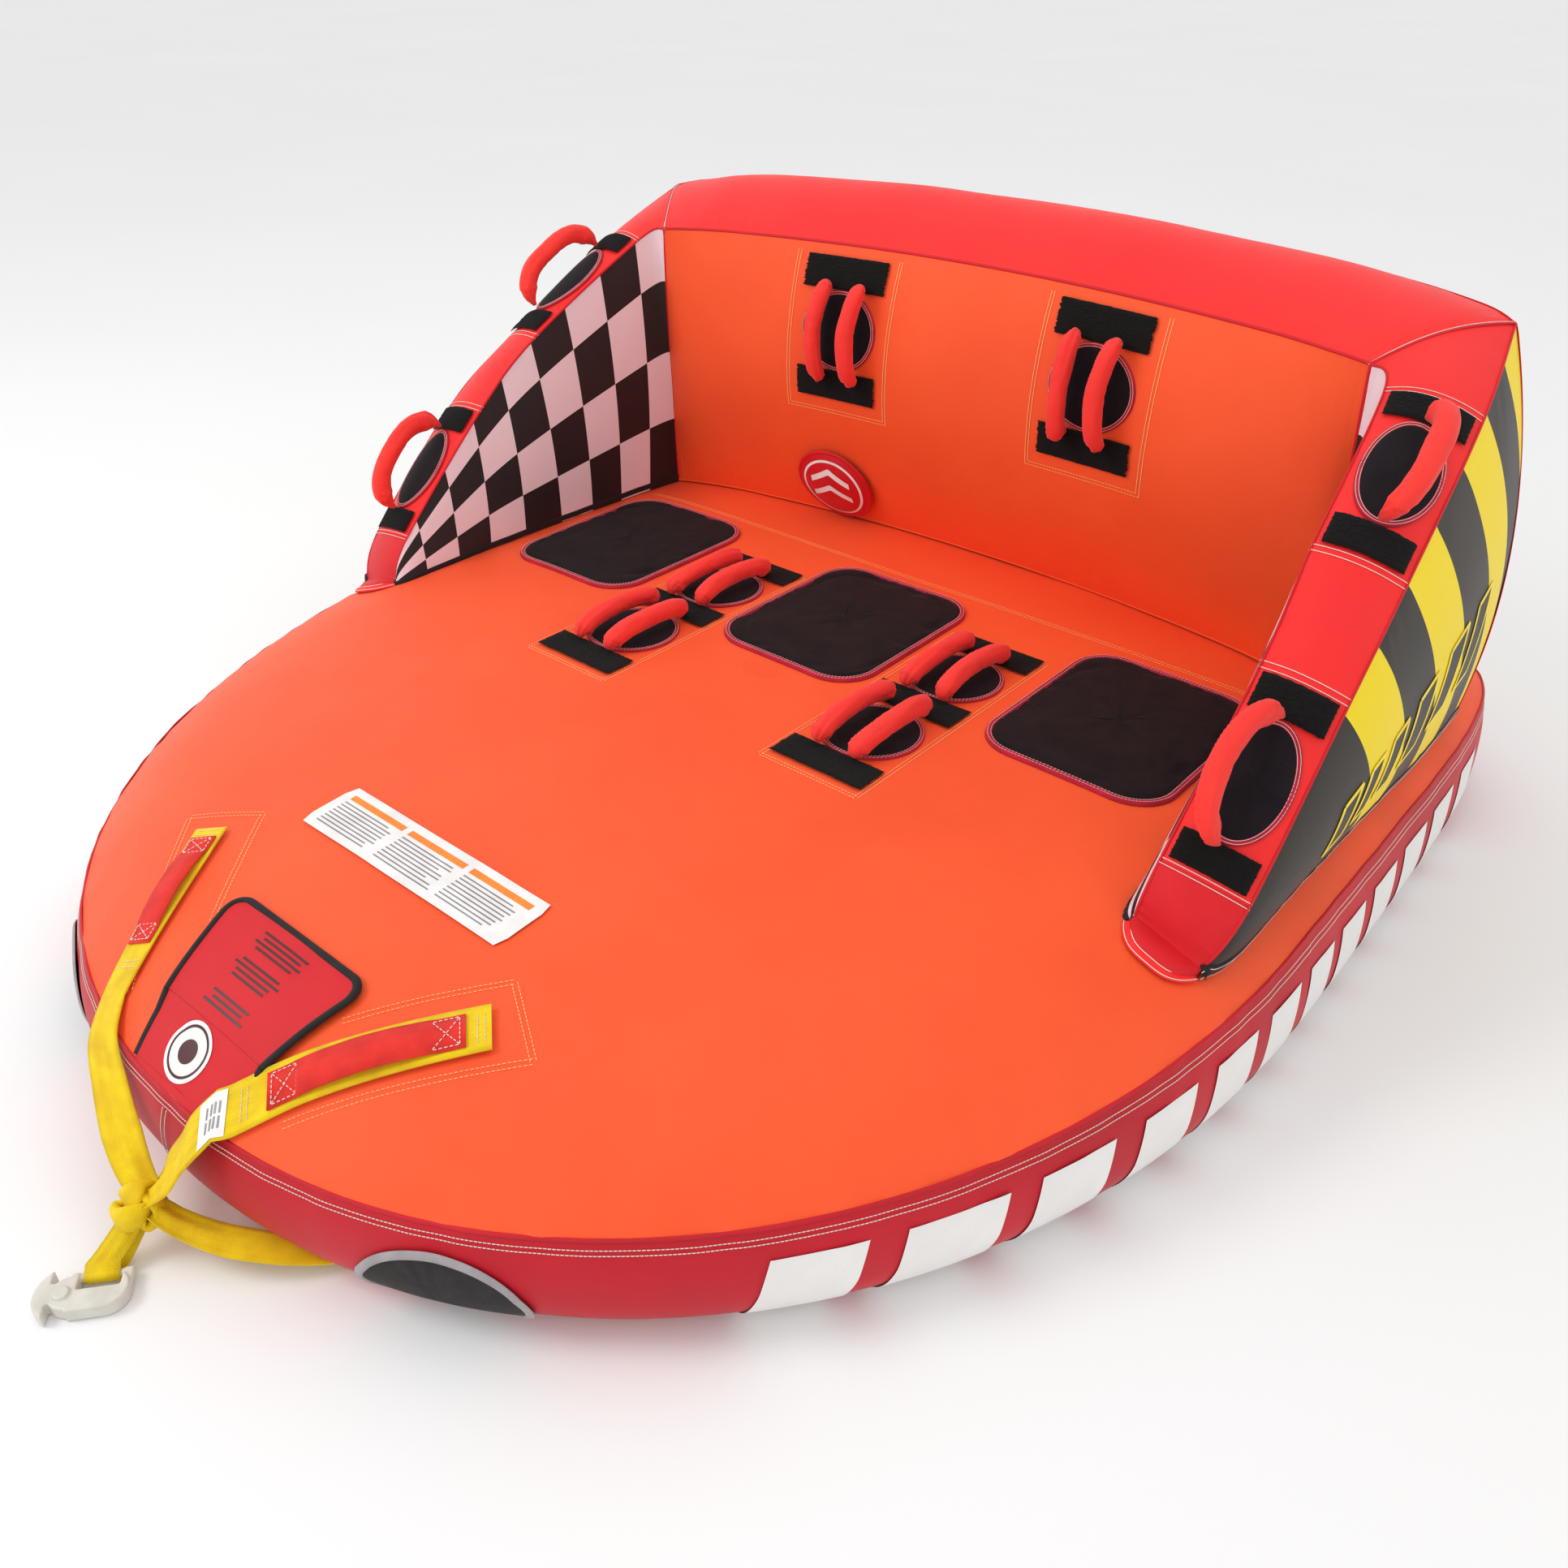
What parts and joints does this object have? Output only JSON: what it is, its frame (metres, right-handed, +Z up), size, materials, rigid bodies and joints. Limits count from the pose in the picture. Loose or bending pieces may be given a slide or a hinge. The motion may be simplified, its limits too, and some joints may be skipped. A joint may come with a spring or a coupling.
{
  "type": "towable tube",
  "caption": "Inflatable deck tube with a wrap-round backrest, side wings, padded handles and pads, and a webbing tow harness with a quick hook; towed by a boat from its rounded nose",
  "frame": {"origin": "on the floor at the middle of the width, level with the front of the front grips' station; the floor_face mount's point", "axes": "-Y points to the towed nose, +Y to the backrest, +X to the right when looking from the nose at the backrest, +Z up"},
  "size_m": [2.204, 2.7565, 1.0503],
  "materials": {
    "orange_nylon": "coated woven nylon, bright orange, slight sheen",
    "red_nylon": "coated woven nylon, red, slight sheen",
    "black_nylon": "coated woven nylon, black",
    "charcoal_nylon": "coated woven nylon, dark brown-grey",
    "check_nylon": "printed check of black and white nylon",
    "yellow_nylon": "printed yellow and charcoal diagonal blocks on nylon",
    "black_neoprene": "padded neoprene, matt, slightly ribbed",
    "pink_binding": "folded woven binding, crimson pink",
    "black_webbing": "brushed nylon webbing, fuzzy",
    "handle_fabric": "nylon cover puckered over a foam core, coral red",
    "yellow_webbing": "woven polyester webbing, yellow",
    "hook_plastic": "moulded nylon, milky white",
    "black_binding": "black woven patch and binding",
    "valve_plastic": "moulded plastic, dark grey",
    "label_vinyl": "printed vinyl, white",
    "air_chamber": "soft PVC sheet, translucent grey",
    "zipper_tape": "woven tape with moulded teeth, black",
    "zipper_metal": "cast metal slider"
  },
  "bodies": {
    "tube_cover": {"deck_top_panel": "orange_nylon", "side_band": "red_nylon", "bottom_panel": "black_nylon", "deck_bladder": "air_chamber", "back_front_panel": "orange_nylon", "back_top_strip": "red_nylon", "back_rear_panel": "charcoal_nylon", "back_bladder": "air_chamber", "wing_inner_right": "check_nylon", "wing_strip_right": "red_nylon", "wing_outer_right": "yellow_nylon", "wing_bladder_right": "air_chamber", "wing_inner_left": "check_nylon", "wing_strip_left": "red_nylon", "wing_outer_left": "yellow_nylon", "wing_bladder_left": "air_chamber", "seat_pads": "black_neoprene", "pad_bindings": "pink_binding", "knuckle_guards": "black_neoprene", "guard_bindings": "pink_binding", "webbing_bars": "black_webbing", "tow_strap_right": "yellow_webbing", "tow_strap_left": "yellow_webbing", "tow_strap_bottom": "yellow_webbing", "strap_sleeves": "red_nylon", "tow_knot": "yellow_webbing", "tow_loop": "yellow_webbing", "flap_root": "red_nylon", "back_valve_body": "valve_plastic", "deck_valve_body": "valve_plastic", "drain_patches": "black_binding", "safety_label": "label_vinyl", "care_label": "label_vinyl", "zipper_tape": "zipper_tape"},
    "deck_grip_1": {"deck_handle_1": "handle_fabric"},
    "deck_grip_2": {"deck_handle_2": "handle_fabric"},
    "deck_grip_3": {"deck_handle_3": "handle_fabric"},
    "deck_grip_4": {"deck_handle_4": "handle_fabric"},
    "deck_grip_5": {"deck_handle_5": "handle_fabric"},
    "deck_grip_6": {"deck_handle_6": "handle_fabric"},
    "deck_grip_7": {"deck_handle_7": "handle_fabric"},
    "deck_grip_8": {"deck_handle_8": "handle_fabric"},
    "back_grip_1": {"back_handle_1": "handle_fabric"},
    "back_grip_2": {"back_handle_2": "handle_fabric"},
    "back_grip_3": {"back_handle_3": "handle_fabric"},
    "back_grip_4": {"back_handle_4": "handle_fabric"},
    "wing_grip_1": {"wing_handle_1": "handle_fabric"},
    "wing_grip_2": {"wing_handle_2": "handle_fabric"},
    "wing_grip_3": {"wing_handle_3": "handle_fabric"},
    "wing_grip_4": {"wing_handle_4": "handle_fabric"},
    "hook": {"tow_hook": "hook_plastic"},
    "nose_flap": {"tow_flap": "red_nylon", "flap_binding": "black_binding"},
    "valve_cover": {"valve_flap": "red_nylon"},
    "back_cap": {"back_valve_cap": "valve_plastic"},
    "deck_cap": {"deck_valve_cap": "valve_plastic"},
    "zip_pull": {"zipper_slider": "zipper_metal"}
  },
  "joints": [
    {"name": "deck_grip_1_swing", "type": "hinge", "parent": "tube_cover", "child": "deck_grip_1", "pos_m": [-0.34, 0.078, 0.34299], "axis": [0, 1, 0], "range_deg": [-40, 40]},
    {"name": "deck_grip_2_swing", "type": "hinge", "parent": "tube_cover", "child": "deck_grip_2", "pos_m": [-0.26, 0.078, 0.343], "axis": [0, 1, 0], "range_deg": [-40, 40]},
    {"name": "deck_grip_3_swing", "type": "hinge", "parent": "tube_cover", "child": "deck_grip_3", "pos_m": [-0.34, 0.333, 0.34299], "axis": [0, 1, 0], "range_deg": [-40, 40]},
    {"name": "deck_grip_4_swing", "type": "hinge", "parent": "tube_cover", "child": "deck_grip_4", "pos_m": [-0.26, 0.333, 0.343], "axis": [0, 1, 0], "range_deg": [-40, 40]},
    {"name": "deck_grip_5_swing", "type": "hinge", "parent": "tube_cover", "child": "deck_grip_5", "pos_m": [0.26, 0.078, 0.343], "axis": [0, 1, 0], "range_deg": [-40, 40]},
    {"name": "deck_grip_6_swing", "type": "hinge", "parent": "tube_cover", "child": "deck_grip_6", "pos_m": [0.34, 0.078, 0.34299], "axis": [0, 1, 0], "range_deg": [-40, 40]},
    {"name": "deck_grip_7_swing", "type": "hinge", "parent": "tube_cover", "child": "deck_grip_7", "pos_m": [0.26, 0.333, 0.343], "axis": [0, 1, 0], "range_deg": [-40, 40]},
    {"name": "deck_grip_8_swing", "type": "hinge", "parent": "tube_cover", "child": "deck_grip_8", "pos_m": [0.34, 0.333, 0.34299], "axis": [0, 1, 0], "range_deg": [-40, 40]},
    {"name": "back_grip_1_swing", "type": "hinge", "parent": "tube_cover", "child": "back_grip_1", "pos_m": [-0.33704, 0.71165, 0.78499], "axis": [-0.0002, 0.1284, 0.9917], "range_deg": [-64, 12]},
    {"name": "back_grip_2_swing", "type": "hinge", "parent": "tube_cover", "child": "back_grip_2", "pos_m": [-0.25189, 0.7154, 0.7863], "axis": [0, 0.132, 0.9912], "range_deg": [-64, 12]},
    {"name": "back_grip_3_swing", "type": "hinge", "parent": "tube_cover", "child": "back_grip_3", "pos_m": [0.2589, 0.71392, 0.7865], "axis": [0, 0.132, 0.9912], "range_deg": [-44, 32]},
    {"name": "back_grip_4_swing", "type": "hinge", "parent": "tube_cover", "child": "back_grip_4", "pos_m": [0.34537, 0.71019, 0.78518], "axis": [0.0002, 0.1284, 0.9917], "range_deg": [-50, 26]},
    {"name": "wing_grip_1_swing", "type": "hinge", "parent": "tube_cover", "child": "wing_grip_1", "pos_m": [0.96105, 0.08534, 0.5077], "axis": [-0.0016, 0.7201, 0.6939], "range_deg": [-25, 75]},
    {"name": "wing_grip_2_swing", "type": "hinge", "parent": "tube_cover", "child": "wing_grip_2", "pos_m": [0.94037, 0.53335, 0.83639], "axis": [-0.09, 0.8681, 0.4882], "range_deg": [-65, 35]},
    {"name": "wing_grip_3_swing", "type": "hinge", "parent": "tube_cover", "child": "wing_grip_3", "pos_m": [-0.96668, 0.0853, 0.50775], "axis": [0.0016, 0.7201, 0.6939], "range_deg": [-50, 50]},
    {"name": "wing_grip_4_swing", "type": "hinge", "parent": "tube_cover", "child": "wing_grip_4", "pos_m": [-0.9373, 0.53241, 0.8375], "axis": [0.09, 0.8681, 0.4882], "range_deg": [-50, 50]},
    {"name": "hook_roll", "type": "hinge", "parent": "tube_cover", "child": "hook", "pos_m": [0.0569, -1.28721, 0.012], "axis": [-0.6428, -0.766, 0], "range_deg": [0, 80]},
    {"name": "nose_flap_lift", "type": "hinge", "parent": "tube_cover", "child": "nose_flap", "pos_m": [0, -1.034, 0.25021], "axis": [1, 0, 0], "range_deg": [0, 110]},
    {"name": "valve_cover_lift", "type": "hinge", "parent": "tube_cover", "child": "valve_cover", "pos_m": [-0.32988, 0.7337, 0.50819], "axis": [-0.998, -0.0636, -0.0048], "range_deg": [0, 75]},
    {"name": "back_cap_turn", "type": "hinge", "parent": "tube_cover", "child": "back_cap", "pos_m": [-0.33069, 0.7782, 0.42393], "axis": [0.0721, -0.9151, -0.3966], "continuous": true},
    {"name": "deck_cap_turn", "type": "hinge", "parent": "tube_cover", "child": "deck_cap", "pos_m": [-0.3, 1.195, 0.29841], "axis": [0, 0.2448, 0.9696], "continuous": true},
    {"name": "zip_pull_slide", "type": "slide", "parent": "tube_cover", "child": "zip_pull", "axis": [1, 0, 0], "range_m": [0, 1.06]}
  ]
}
